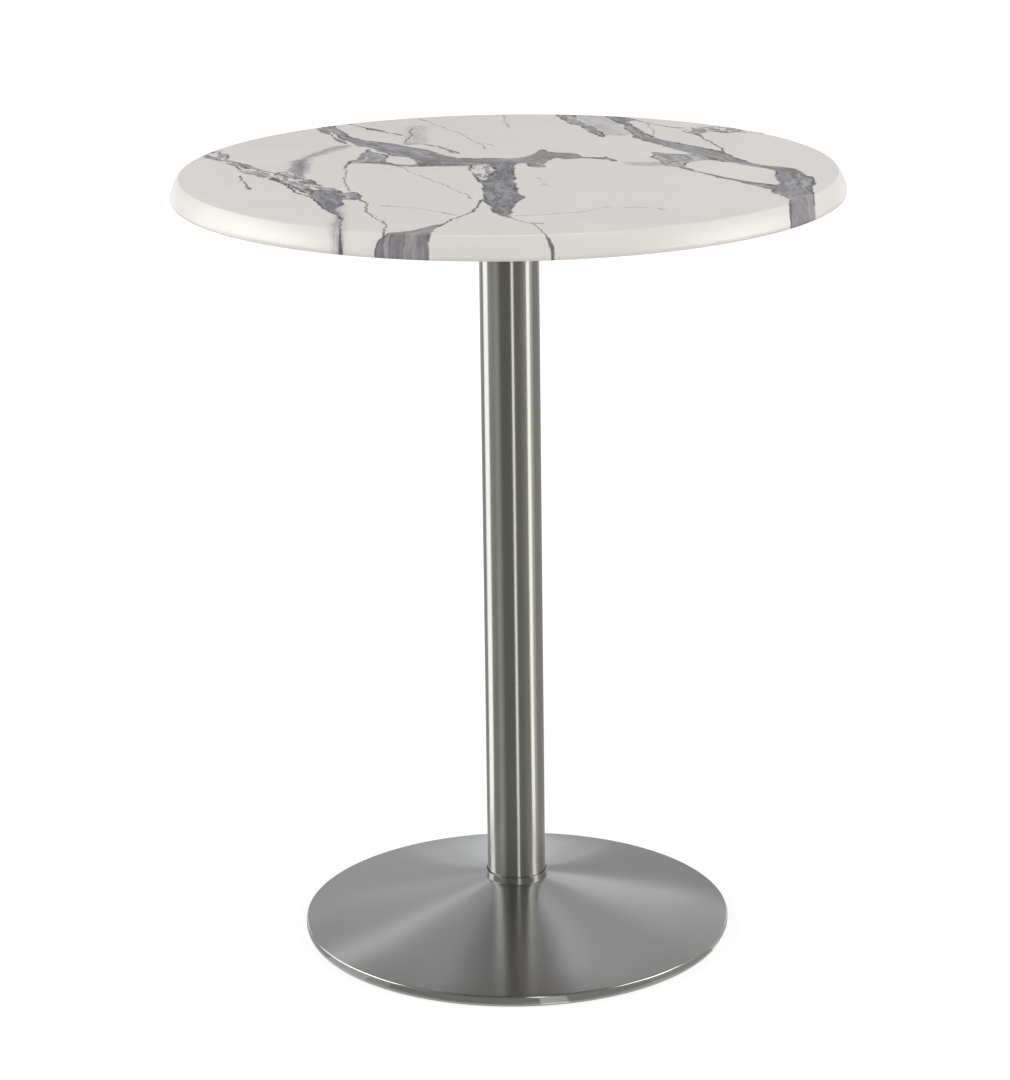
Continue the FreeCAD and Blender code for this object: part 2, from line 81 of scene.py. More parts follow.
class Wiring:
    """Short calls that add and link nodes in one node tree."""

    def __init__(self, tree: Tree) -> None:
        """Takes the tree that the calls work in."""
        self.tree = tree

    def feed(self, socket: Socket, value: Feed) -> None:
        """Links a socket to another one, or sets its own value.

        Args:
            socket: the input to feed.
            value: an output to link, or a plain number or tuple.
        """
        if isinstance(value, Socket):
            self.tree.links.new(value, socket)
        elif socket.type == "RGBA" and len(value) == 3:
            socket.default_value = (*value, 1.0)
        else:
            socket.default_value = value

    def add(self, kind: str, feeds: dict[str | int, Feed] | None = None, **settings: object) -> Node:
        """Adds a node.

        Args:
            kind: the node's type without its ShaderNode prefix.
            feeds: what goes into its inputs, by name or place.
            **settings: the node's own properties.

        Returns:
            The new node.
        """
        node = self.tree.nodes.new("ShaderNode" + kind)
        for name, setting in settings.items():
            setattr(node, name, setting)
        self.fill(node, feeds or {})
        return node

    def fill(self, node: Node, feeds: dict[str | int, Feed]) -> None:
        """Feeds several inputs of a node, by name or place."""
        for name, value in feeds.items():
            self.feed(node.inputs[name], value)

    def math(self, operation: str, *values: Feed, clamp: bool = False) -> Socket:
        """Adds a Math node over one to three values and returns its output."""
        feeds = dict(enumerate(values))
        return self.add("Math", feeds, operation=operation, use_clamp=clamp).outputs[0]

    def times(self, first: Feed, *others: Feed) -> Socket:
        """Multiplies values one after another and returns their product."""
        product = first
        for value in others:
            product = self.math("MULTIPLY", product, value)
        return product

    def vector(self, operation: str, *values: Feed) -> Socket:
        """Adds a Vector Math node and returns its vector output."""
        return self.add("VectorMath", dict(enumerate(values)), operation=operation).outputs[0]

    def blend(self, share: Feed, low: Feed, high: Feed, mode: str = "MIX") -> Socket:
        """Mixes two colours by a share and returns the result."""
        node = self.add("Mix", {0: share, 6: low, 7: high}, data_type="RGBA", blend_type=mode)
        return node.outputs[2]

    def ease(self, value: Feed, start: Feed, end: Feed, low: Feed = 0.0, high: Feed = 1.0) -> Socket:
        """Maps start..end onto low..high with a smooth step and returns the result."""
        feeds = {"Value": value, "From Min": start, "From Max": end, "To Min": low, "To Max": high}
        return self.add("MapRange", feeds, interpolation_type="SMOOTHSTEP", clamp=False).outputs[0]

    def noise(self, place: Feed, scale: Feed, detail: float = 2.0, roughness: float = 0.5) -> Node:
        """Adds a noise texture at a place and returns its node."""
        feeds = {"Vector": place, "Scale": scale, "Detail": detail, "Roughness": roughness}
        return self.add("TexNoise", feeds)

    def ramp(self, share: Feed, *stops: tuple[float, Colour]) -> Socket:
        """Adds a colour ramp with the given stops and returns its colour."""
        node = self.add("ValToRGB", {"Fac": share})
        elements = node.color_ramp.elements
        while len(elements) < len(stops):
            elements.new(1.0)
        for element, (place, colour) in zip(elements, stops):
            element.position = place
            element.color = (*colour, 1.0)
        return node.outputs["Color"]

    def place(self) -> Socket:
        """Adds the object's own coordinates and returns them."""
        return self.add("TexCoord").outputs["Object"]

    def length(self, vector: Feed) -> Socket:
        """Adds the length of a vector and returns it."""
        return self.add("VectorMath", {0: vector}, operation="LENGTH").outputs["Value"]

    def group(self, tree: Tree, feeds: dict[str | int, Feed]) -> Outputs:
        """Places a shared node group with its own values and returns its outputs."""
        return self.add("Group", feeds, node_tree=tree).outputs


def blank_tree(owner: Material | bpy.types.World) -> Wiring:
    """Empties the node tree of a material or world and returns its wiring."""
    owner.use_nodes = True
    owner.node_tree.nodes.clear()
    return Wiring(owner.node_tree)


def plain_shader(name: str) -> tuple[Material, Wiring, Node]:
    """Starts a material.

    Args:
        name: the material's name.

    Returns:
        The material, its wiring and its Principled shader, already on the output.
    """
    material = bpy.data.materials.new(name)
    wiring = blank_tree(material)
    shader = wiring.add("BsdfPrincipled")
    wiring.add("OutputMaterial", {"Surface": shader.outputs["BSDF"]})
    return material, wiring, shader


def linked_object(name: str, bm: bmesh.types.BMesh) -> Piece:
    """Makes an object of a bmesh, which is freed, links it to the scene and returns it."""
    mesh = bpy.data.meshes.new(name)
    bm.to_mesh(mesh)
    bm.free()
    made = bpy.data.objects.new(name, mesh)
    bpy.context.scene.collection.objects.link(made)
    return made


@dataclass(frozen=True)
class VeinGrain:
    """How the ink of a vein breaks up.

    Pairs are the levels of a noise, or the distances in shares of the top's radius, over which a
    mask rises or a line fades.
    """

    streaks_across: float = 55.0
    streaks_along: float = 9.0
    streak_bend: float = 0.7
    streak: tuple[float, float] = (0.36, 0.64)
    window: tuple[float, float] = (0.48, 0.54)
    window_rim: float = 0.49
    window_line: tuple[float, float] = (0.004, 0.02)
    outline: float = 0.003
    outline_line: tuple[float, float] = (0.001, 0.008)
    outline_ink: float = 1.5
    seam: float = 0.44
    seam_line: tuple[float, float] = (0.008, 0.05)
    seam_ink: float = 1.2
    core: tuple[float, float] = (0.27, 0.34)
    core_ink: float = 0.9


class SharedEffects:
    """The node groups that several materials use, each built once."""

    def __init__(self, grain: VeinGrain) -> None:
        """Builds every group, with the veins' grain as given."""
        self.mottle = self._mottle()
        self.turned_lines = self._turned_lines()
        self.vein = self._vein(grain)
        self.hair = self._hair()

    @staticmethod
    def _open(
        name: str, inputs: dict[str, str], outputs: dict[str, str]
    ) -> tuple[Wiring, Outputs, bpy.types.NodeInputs]:
        """Starts a node group.

        Args:
            name: the group's name.
            inputs: socket kinds by name, as Float or Vector.
            outputs: socket kinds by name.

        Returns:
            The wiring in the group, what is given to it and what it puts out.
        """
        tree = bpy.data.node_groups.new(name, "ShaderNodeTree")
        for in_out, sockets in (("INPUT", inputs), ("OUTPUT", outputs)):
            for socket_name, kind in sockets.items():
                socket_type = "NodeSocket" + kind
                tree.interface.new_socket(socket_name, in_out=in_out, socket_type=socket_type)
        entry = tree.nodes.new("NodeGroupInput")
        leave = tree.nodes.new("NodeGroupOutput")
        return Wiring(tree), entry.outputs, leave.inputs

    def _mottle(self) -> Tree:
        """Cloudy unevenness: a broad mask and a fine one, at a given grain."""
        inputs = {"Place": "Vector", "Broad": "Float", "Fine": "Float"}
        wiring, given, out = self._open("mottle", inputs, {"Broad": "Float", "Fine": "Float"})
        broad = wiring.noise(given["Place"], given["Broad"], detail=3.0)
        fine = wiring.noise(given["Place"], given["Fine"], detail=2.0)
        wiring.feed(out["Broad"], wiring.ease(broad.outputs["Fac"], 0.3, 0.7))
        wiring.feed(out["Fine"], fine.outputs["Fac"])
        return wiring.tree

    def _turned_lines(self) -> Tree:
        """Fine lines round the table's axis, as a brush leaves on turning work."""
        inputs = {"Place": "Vector", "Pitch": "Float"}
        wiring, given, out = self._open("turned_lines", inputs, {"Lines": "Float"})
        axes = wiring.add("SeparateXYZ", {0: given["Place"]}).outputs
        flat = wiring.add("CombineXYZ", {0: axes[0], 1: axes[1]}).outputs[0]
        along = wiring.times(wiring.math("ADD", wiring.length(flat), axes[2]), given["Pitch"])
        turn = wiring.add("SeparateXYZ", {0: wiring.vector("NORMALIZE", flat)}).outputs
        place = wiring.add("CombineXYZ", {0: along, 1: turn[0], 2: turn[1]}).outputs[0]
        lines = wiring.noise(place, 1.0, detail=3.0, roughness=0.7)
        wiring.feed(out["Lines"], lines.outputs["Fac"])
        return wiring.tree

    @staticmethod
    def _between(wiring: Wiring, given: Outputs) -> tuple[Socket, Socket]:
        """How deep a place lies between a vein's two edges, and the soft mask of the vein."""
        low = wiring.math("MULTIPLY_ADD", given["Low"], 2.0, -1.0)
        high = wiring.math("MULTIPLY_ADD", given["High"], 2.0, -1.0)
        from_low = wiring.math("SUBTRACT", given["Across"], low)
        depth = wiring.math("MINIMUM", from_low, wiring.math("SUBTRACT", high, given["Across"]))
        outside = wiring.times(given["Softness"], -1.0)
        return depth, wiring.ease(depth, outside, given["Softness"])

    def _hair(self) -> Tree:
        """One plain thin vein between two edges."""
        inputs = dict.fromkeys(("Across", "Low", "High", "Softness", "Strength"), "Float")
        wiring, given, out = self._open("hair", inputs, {"Ink": "Float"})
        band = self._between(wiring, given)[1]
        wiring.feed(out["Ink"], wiring.times(band, given["Strength"]))
        return wiring.tree

    def _vein(self, grain: VeinGrain) -> Tree:
        """One vein between two edges: streaked along its run, with broken dark lines along its edges.

        Args:
            grain: how its ink breaks up.

        Returns:
            The group.
        """
        shape = ("Across", "Along", "Low", "High", "Softness", "Strength")
        looks = ("Streaks", "Windows", "Rim", "Seed", "Cells", "Whole")
        wiring, given, out = self._open("vein", dict.fromkeys(shape + looks, "Float"), {"Ink": "Float"})
        depth, band = self._between(wiring, given)

        def line(value: Socket, middle: float, fade: tuple[float, float], ink: float) -> Socket:
            """Inks a line where a value is near a middle, fading to both sides, and returns it."""
            away = wiring.math("ABSOLUTE", wiring.math("SUBTRACT", value, middle))
            return wiring.ease(away, *fade, ink, 0.0)

        # light and dark streaks that run with the vein
        middle = wiring.math("SUBTRACT", wiring.math("ADD", given["Low"], given["High"]), 1.0)
        offset = wiring.math("SUBTRACT", given["Across"], middle)
        streak_place = wiring.add("CombineXYZ", {
            0: wiring.times(offset, grain.streaks_across),
            1: wiring.times(given["Along"], grain.streaks_along),
            2: given["Seed"],
        }).outputs[0]
        streaked = wiring.noise(streak_place, 1.0, 4.0, 0.66)
        streaked.inputs["Distortion"].default_value = grain.streak_bend
        level = streaked.outputs["Fac"]
        streak = wiring.times(wiring.ease(level, *grain.streak), given["Streaks"])
        # pale windows with a dark line round each
        window = wiring.times(wiring.ease(given["Cells"], *grain.window), given["Windows"])
        paleness = wiring.math("MINIMUM", wiring.math("ADD", window, streak), 1.0)
        full = wiring.times(band, given["Strength"])
        dense = wiring.times(full, wiring.math("SUBTRACT", 1.0, paleness))
        window_line = line(given["Cells"], grain.window_rim, grain.window_line, 1.0)
        crack = wiring.times(window_line, given["Windows"], band)
        # the outline comes and goes along the run, and so do dark streaks inside
        outline = line(depth, grain.outline, grain.outline_line, grain.outline_ink)
        outline = wiring.times(outline, given["Whole"], given["Rim"])
        seam = wiring.times(line(level, grain.seam, grain.seam_line, grain.seam_ink), given["Whole"])
        inside = wiring.math("MAXIMUM", wiring.ease(level, *grain.core, grain.core_ink, 0.0), seam)
        inside = wiring.times(inside, band, given["Rim"])
        lines = wiring.math("MAXIMUM", outline, crack)
        wiring.feed(out["Ink"], wiring.math("MAXIMUM", wiring.math("MAXIMUM", dense, lines), inside))
        return wiring.tree


class Runs(Enum):
    """The way a vein is laid out on the top: by stations along X or along Y."""

    ALONG_X = 0
    ALONG_Y = 1


@dataclass(frozen=True)
class Vein:
    """One vein of the decor print, laid out in shares of the top's radius.

    Each station is a place along the run with the vein's low and high edge there, in thousandths.
    """

    runs: Runs
    strength: float
    stations: tuple[tuple[float, float, float], ...]
    softness: float = 0.004
    streaks: float = 0.0
    windows: float = 0.0
    rim: float = 0.0
    end_run: float = 0.02
    end_gap: float = 0.03

    @property
    def plain(self) -> bool:
        """Whether the vein is one even tone."""
        return not (self.streaks or self.windows or self.rim)

    def closed_stations(self) -> list[tuple[float, float, float]]:
        """Sorts the stations, turns them into shares and shuts the vein past both its ends."""
        run = [tuple(value / 1000 for value in station) for station in sorted(self.stations)]
        ends = []
        for (along, low, high), step in ((run[0], -self.end_run), (run[-1], self.end_run)):
            middle = (low + high) / 2
            ends.append((along + step, middle + self.end_gap, middle - self.end_gap))
        return [ends[0], *run, ends[1]]


def band(runs: Runs, strength: float, *stations: tuple[float, float, float], **looks: float) -> Vein:
    """A broad streaked vein with darker edges."""
    given = {"streaks": 0.58, "rim": 0.75, **looks}
    return Vein(runs, strength, stations, **given)


def hair(runs: Runs, strength: float, half_width: float, *points: tuple[float, float]) -> Vein:
    """A thin vein of even width through points, in thousandths."""
    half = HAIR_WIDTH * half_width
    stations = tuple((along, across - half, across + half) for along, across in points)
    return Vein(runs, HAIR_INK * strength, stations, softness=0.0026)


def wash(runs: Runs, strength: float, *stations: tuple[float, float, float]) -> Vein:
    """A pale cloud without clear edges."""
    return Vein(runs, strength, stations, softness=0.03, streaks=0.4)


X, Y = Runs.ALONG_X, Runs.ALONG_Y

VEINS = (
    # left side: a band that comes in from the rim and runs to the front
    band(Y, 0.46, (360, -895, -875), (330, -905, -858), (300, -920, -850), (270, -925, -845),
         (240, -905, -845), (210, -885, -845), (180, -865, -820), (150, -845, -800), (100, -815, -760),
         (50, -800, -735), (0, -790, -700), (-40, -760, -665), (-80, -740, -645), windows=0.8, rim=0.6),
    band(Y, 0.46, (0, -670, -620), (-40, -690, -605), (-80, -700, -595), (-120, -680, -580),
         (-160, -660, -565), (-200, -640, -550), (-250, -620, -505), (-300, -600, -480),
         (-340, -580, -470), windows=0.85),
    band(Y, 0.80, (-300, -565, -485), (-350, -570, -470), (-400, -557, -468), (-450, -545, -468),
         (-500, -533, -470), (-550, -522, -475), (-600, -507, -478), (-640, -492, -470)),
    hair(Y, 1.0, 6, (-100, -700), (-140, -675), (-180, -655), (-220, -640), (-280, -622), (-340, -603),
         (-370, -577), (-430, -550), (-520, -527), (-600, -500), (-680, -472), (-720, -458)),
    hair(Y, 0.6, 4, (-720, -458), (-850, -460), (-920, -450)),
    hair(Y, 0.9, 5, (295, -912), (270, -903), (250, -890), (215, -873), (190, -850), (150, -815),
         (100, -785), (60, -770)),
    hair(Y, 0.4, 4, (120, -483), (50, -485), (0, -480), (-100, -480), (-200, -472), (-280, -458),
         (-350, -438), (-400, -430)),
    band(Y, 0.5, (-330, -450, -432), (-370, -470, -425), (-410, -470, -422), (-440, -450, -420)),
    hair(Y, 0.45, 5, (-440, -425), (-500, -405), (-560, -397), (-620, -392), (-680, -380), (-730, -362),
         (-780, -343), (-820, -337), (-880, -335), (-950, -342)),
    hair(Y, 0.6, 4, (-50, -787), (-100, -778), (-150, -770), (-200, -760), (-270, -743)),
    wash(Y, 0.48, (430, -517, -483), (380, -552, -508), (330, -582, -540), (280, -607, -565),
         (220, -625, -597), (170, -635, -605)),
    wash(Y, 0.62, (200, -634, -604), (150, -642, -598), (100, -645, -597), (50, -648, -595),
         (0, -643, -597), (-30, -628, -600), (-50, -615, -605)),
    # rear left: the main band, the ring beside it and the pale cloud behind
    band(Y, 0.74, (800, -600, -555), (760, -585, -545), (700, -560, -525), (650, -542, -508),
         (600, -530, -493), (550, -512, -462), (500, -487, -410), (450, -475, -352), (420, -462, -325),
         (400, -430, -305), (350, -402, -252), (300, -367, -222), (250, -352, -193), (220, -302, -172),
         (200, -290, -150), (150, -277, -105), (100, -265, -95), (75, -260, -100)),
    hair(Y, 0.5, 4, (760, -600), (600, -545), (460, -500)),
    band(Y, 0.55, (370, -428, -420), (330, -432, -415), (300, -437, -385), (270, -447, -370),
         (230, -452, -364), (190, -460, -364), (160, -475, -372), (140, -478, -385)),
    band(X, 0.7, (-420, 140, 175), (-380, 118, 150), (-350, 97, 122), (-320, 80, 102), (-280, 70, 98),
         (-250, 72, 100)),
    hair(Y, 0.6, 6, (150, -465), (120, -478), (80, -484), (50, -484)),
    hair(Y, 0.6, 7, (840, -510), (800, -490), (750, -450), (720, -427), (700, -410), (670, -390),
         (640, -355), (600, -330)),
    band(Y, 0.6, (740, -447, -435), (710, -435, -405), (680, -405, -390)),
    wash(Y, 0.26, (780, -310, -260), (700, -325, -250), (600, -320, -250), (500, -325, -245),
         (440, -330, -250)),
    hair(Y, 0.6, 5, (730, -305), (650, -305), (580, -300), (520, -315), (470, -318)),
    band(X, 0.5, (-310, 430, 455), (-270, 435, 452), (-230, 405, 425), (-200, 355, 385),
         (-170, 300, 335), (-150, 280, 300)),
    hair(Y, 0.28, 4, (900, -280), (850, -250), (770, -220), (700, -190), (620, -150), (550, -125),
         (470, -100), (400, -77), (340, -65)),
    hair(X, 0.22, 4, (-105, 470), (-75, 445), (-40, 405)),
    hair(Y, 0.2, 6, (970, -10), (850, -8), (730, 2)),
    # middle: the cross band and the stem that falls from it to the front
    band(X, 0.78, (-260, 85, 150), (-200, 80, 220), (-150, 80, 205), (-100, 85, 188), (-50, 90, 186),
         (0, 90, 177), (30, 95, 190), (60, 100, 222), (85, 100, 270), (105, 105, 325), (120, 130, 310),
         (130, 155, 288), (150, 178, 272), (180, 160, 262), (205, 160, 250), (220, 167, 200),
         (240, 165, 180), (280, 150, 172), (295, 145, 190), (310, 120, 150), (325, 108, 122)),
    band(Y, 0.55, (110, 55, 115), (80, 55, 112), (50, 60, 112), (30, 75, 100)),
    band(Y, 0.5, (100, -100, -30), (50, -112, -35), (0, -115, -30), (-50, -110, -30), (-100, -100, -35),
         (-150, -90, -40), (-200, -83, -50), windows=0.9),
    band(Y, 0.82, (100, -50, 30), (50, -45, 15), (0, -40, 18), (-50, -45, 20), (-100, -55, 20),
         (-150, -65, 20), (-200, -78, 20), (-250, -75, 20), (-300, -73, 25), (-350, -70, 30),
         (-400, -70, 37), (-430, -68, 45), (-470, -68, 33), (-500, -64, 25), (-550, -50, 16),
         (-600, -45, 12), (-650, -40, 8), (-680, -30, 0), (-700, -20, -8), streaks=0.5),
    hair(Y, 0.3, 4, (70, -325), (30, -305), (0, -300), (-50, -275), (-100, -250), (-170, -217),
         (-250, -180), (-330, -145), (-400, -117), (-450, -105)),
    hair(Y, 0.15, 4, (-120, 80), (-200, 100), (-280, 120)),
    # front: thin cracks that reach the edge
    hair(Y, 0.75, 5, (-460, -72), (-500, -77), (-550, -85), (-600, -93), (-640, -100), (-680, -122),
         (-720, -143), (-760, -160), (-800, -178), (-840, -193)),
    band(Y, 0.54, (-820, -205, -185), (-840, -222, -190), (-865, -247, -197), (-890, -265, -203),
         (-905, -300, -207), (-920, -350, -209), (-940, -366, -212), (-990, -370, -215), streaks=0.36,
         rim=0.5),
    hair(Y, 0.5, 4, (-700, -8), (-740, 12), (-780, 33), (-820, 62), (-860, 73), (-900, 83), (-970, 103),
         (-1000, 120)),
    hair(X, 0.4, 7, (62, -810), (80, -815), (95, -820)),
    hair(X, 0.28, 4, (0, -700), (60, -700), (120, -685), (170, -670), (220, -645), (270, -595),
         (300, -590)),
    hair(X, 0.28, 4, (320, -605), (370, -610), (400, -620), (435, -640)),
    hair(X, 0.25, 5, (-360, -530), (-300, -560), (-240, -590), (-200, -630), (-150, -680)),
    # rear right: two strips from the rim with a pale wash between them
    band(Y, 0.54, (980, 155, 225), (900, 165, 222), (850, 180, 225), (800, 196, 236), (750, 220, 255),
         (700, 240, 278), (650, 252, 288), (600, 267, 298), (560, 283, 303), (535, 290, 300)),
    wash(Y, 0.27, (980, 210, 310), (900, 210, 320), (800, 230, 350), (700, 265, 372), (600, 290, 385),
         (560, 295, 390)),
    hair(X, 0.35, 10, (400, 840), (430, 800), (460, 755), (500, 705), (550, 670)),
    hair(Y, 0.25, 5, (770, 443), (700, 448), (620, 458), (550, 455)),
    band(X, 0.62, (555, 600, 640), (570, 570, 675), (585, 558, 682), (610, 580, 690), (650, 600, 690),
         (685, 572, 672), (710, 590, 668), (740, 580, 640), (770, 565, 605), (800, 550, 580),
         windows=0.9),
    hair(Y, 0.7, 5, (570, 583), (500, 602), (430, 622), (360, 637), (300, 648), (220, 660), (160, 672)),
    # right side: the long band with its patch and branch
    band(Y, 0.76, (950, 300, 340), (900, 310, 372), (870, 323, 400), (840, 333, 408), (800, 345, 382),
         (750, 365, 391), (700, 370, 405), (650, 375, 411), (600, 380, 425), (550, 390, 445),
         (500, 400, 462), (450, 422, 497), (400, 455, 535), (350, 477, 570), (300, 502, 606),
         (250, 537, 650), (200, 570, 665), (150, 600, 681), (100, 625, 702), (70, 665, 715),
         (30, 695, 745), (0, 727, 782), (-30, 755, 825), (-60, 780, 843), (-100, 790, 855),
         (-150, 780, 870), (-200, 775, 886), (-250, 779, 888), (-300, 780, 880), (-340, 768, 874),
         (-400, 750, 865), (-440, 765, 870)),
    band(Y, 0.45, (-420, 758, 866), (-450, 768, 870), (-500, 785, 869), (-560, 790, 870),
         (-640, 790, 870), streaks=0.25, rim=0.5),
    band(Y, 0.55, (245, 443, 452), (225, 440, 495), (200, 435, 585), (180, 430, 610), (150, 440, 620),
         (120, 450, 625), (100, 455, 560), (70, 460, 535), (40, 466, 525), (20, 480, 525),
         (0, 508, 530)),
    band(X, 0.78, (510, -5, 20), (550, -75, -50), (600, -150, -125), (650, -222, -190),
         (700, -290, -248), (730, -330, -275), (760, -375, -295), (790, -410, -310)),
    wash(X, 0.28, (350, 60, 100), (400, 20, 100), (460, 15, 110)),
    # a soft shade beside the line that leaves the left band
    wash(Y, 0.40, (-520, -500, -465), (-620, -490, -455), (-750, -485, -452), (-880, -482, -445),
         (-1000, -478, -435)),
)


@dataclass(frozen=True)
class MarbleDecor:
    """The printed decor sheet: warm white with grey veins under a satin gloss."""

    effects: SharedEffects
    top_radius: float
    white: Colour = srgb(225, 220, 215)
    cloud: Colour = srgb(219, 214, 209)
    pale_vein: Colour = srgb(190, 187, 188)
    vein: Colour = srgb(138, 134, 138)
    dark_vein: Colour = srgb(93, 91, 94)
    deep_vein: Colour = srgb(44, 42, 45)
    gloss: float = 0.30
    uneven_gloss: float = 0.05
    ior: float = 1.48
    clouds: float = 3.5
    speckles: float = 55.0
    wobbles: tuple[tuple[float, float], ...] = ((11.0, 0.028), (42.0, 0.018), (130.0, 0.009))
    cells: float = 21.0
    cell_turn: float = -0.47
    cell_stretch: tuple[float, float, float] = (1.25, 0.5, 1.0)
    breaks: float = 13.0
    whole: tuple[float, float] = (0.42, 0.56)
    full_ink: float = 0.32
    seed_step: float = 3.7

    def _edge(self, wiring: Wiring, share: Socket, points: list[tuple[float, float]]) -> Socket:
        """One edge of a vein as a curve over its run.

        Args:
            wiring: the material's wiring.
            share: the place along the run, 0 to 1.
            points: shares of the run with the edge there, from -1 to 1.

        Returns:
            The edge, mapped from -1..1 onto 0..1.
        """
        node = wiring.add("FloatCurve", {"Value": share})
        node.mapping.extend = "HORIZONTAL"
        curve = node.mapping.curves[0]
        while len(curve.points) < len(points):
            curve.points.new(1.0, 1.0)
        for point, (along, across) in zip(curve.points, points):
            point.location = (along, (across + 1) / 2)
            point.handle_type = "AUTO_CLAMPED"
        node.mapping.update()
        return node.outputs[0]

    def _vein(self, wiring: Wiring, vein: Vein, shared: dict[str, Socket], seed: int) -> Socket:
        """How much ink one vein puts on the sheet.

        Args:
            wiring: the material's wiring.
            vein: the vein.
            shared: the place on the sheet as X and Y, and the masks Cells and Whole.
            seed: a number of the vein's own.

        Returns:
            The ink, from 0 up.
        """
        along, across = shared["X"], shared["Y"]
        if vein.runs is Runs.ALONG_Y:
            along, across = across, along
        run = vein.closed_stations()
        start, end = run[0][0], run[-1][0]
        limits = {"Value": along, "From Min": start, "From Max": end}
        share = wiring.add("MapRange", limits, clamp=False).outputs[0]
        shares = [(station[0] - start) / (end - start) for station in run]
        low = self._edge(wiring, share, [(s, station[1]) for s, station in zip(shares, run)])
        high = self._edge(wiring, share, [(s, station[2]) for s, station in zip(shares, run)])
        feeds = {"Across": across, "Low": low, "High": high}
        feeds |= {"Softness": vein.softness, "Strength": vein.strength}
        if vein.plain:
            return wiring.group(self.effects.hair, feeds)["Ink"]
        feeds |= {"Streaks": vein.streaks, "Windows": vein.windows, "Rim": vein.rim}
        feeds |= {"Along": along, "Cells": shared["Cells"], "Whole": shared["Whole"]}
        return wiring.group(self.effects.vein, feeds | {"Seed": self.seed_step * seed})["Ink"]

    def material(self) -> Material:
        """Builds the sheet's material and returns it."""
        material, wiring, shader = plain_shader("decor_marble")
        to_shares = {"Vector": wiring.place(), "Scale": (1 / self.top_radius,) * 3}
        mapping = wiring.add("Mapping", to_shares)
        place = wiring.vector("MULTIPLY", mapping.outputs[0], (1.0, 1.0, 0.0))
        for scale, reach in self.wobbles:
            noise = wiring.noise(place, scale, 2.0).outputs["Color"]
            wobble = wiring.vector("SUBTRACT", noise, (0.5, 0.5, 0.5))
            reach_by_axis = wiring.vector("MULTIPLY", wobble, (reach, reach, 0.0))
            place = wiring.vector("ADD", place, reach_by_axis)
        axes = wiring.add("SeparateXYZ", {0: place}).outputs
        # the windows are drawn out the way the veins on the left run
        turn = {"Vector": place, "Angle": self.cell_turn}
        turned = wiring.add("VectorRotate", turn, rotation_type="Z_AXIS").outputs[0]
        drawn_out = wiring.vector("MULTIPLY", turned, self.cell_stretch)
        cells = wiring.noise(drawn_out, self.cells, 2.0).outputs["Fac"]
        breaks = wiring.noise(place, self.breaks, 3.0).outputs["Fac"]
        whole = wiring.ease(breaks, *self.whole)
        shared = {"X": axes[0], "Y": axes[1], "Cells": cells, "Whole": whole}
        # the plain veins come first, so that the shader holds fewer values at a time
        printed = 0.0
        for seed, vein in sorted(enumerate(VEINS), key=lambda numbered: not numbered[1].plain):
            printed = wiring.math("MAXIMUM", printed, self._vein(wiring, vein, shared, seed))
        grains = {"Place": place, "Broad": self.clouds, "Fine": self.speckles}
        mottle = wiring.group(self.effects.mottle, grains)
        clouds = wiring.times(mottle["Broad"], 0.5)
        ground = wiring.blend(clouds, self.white, self.cloud)
        speckles = wiring.math("MULTIPLY_ADD", mottle["Fine"], 0.5, 0.75)
        inked = wiring.math("MULTIPLY", printed, speckles, clamp=True)
        ink = wiring.ramp(
            inked, (0.0, self.pale_vein), (0.15, self.pale_vein), (0.45, self.vein),
            (0.75, self.dark_vein), (1.0, self.deep_vein),
        )
        wiring.fill(shader, {
            "Base Color": wiring.blend(wiring.ease(inked, 0.0, self.full_ink), ground, ink),
            "Roughness": wiring.math("MULTIPLY_ADD", mottle["Broad"], self.uneven_gloss, self.gloss),
            "IOR": self.ior,
        })
        return material


@dataclass(frozen=True)
class Zone:
    """A ring of a steel piece with a look of its own.

    It fades in from the start radius to the full one, adds to the roughness and scales the tone.
    """

    start: float
    full: float
    rougher: float
    tone: float = 1.0


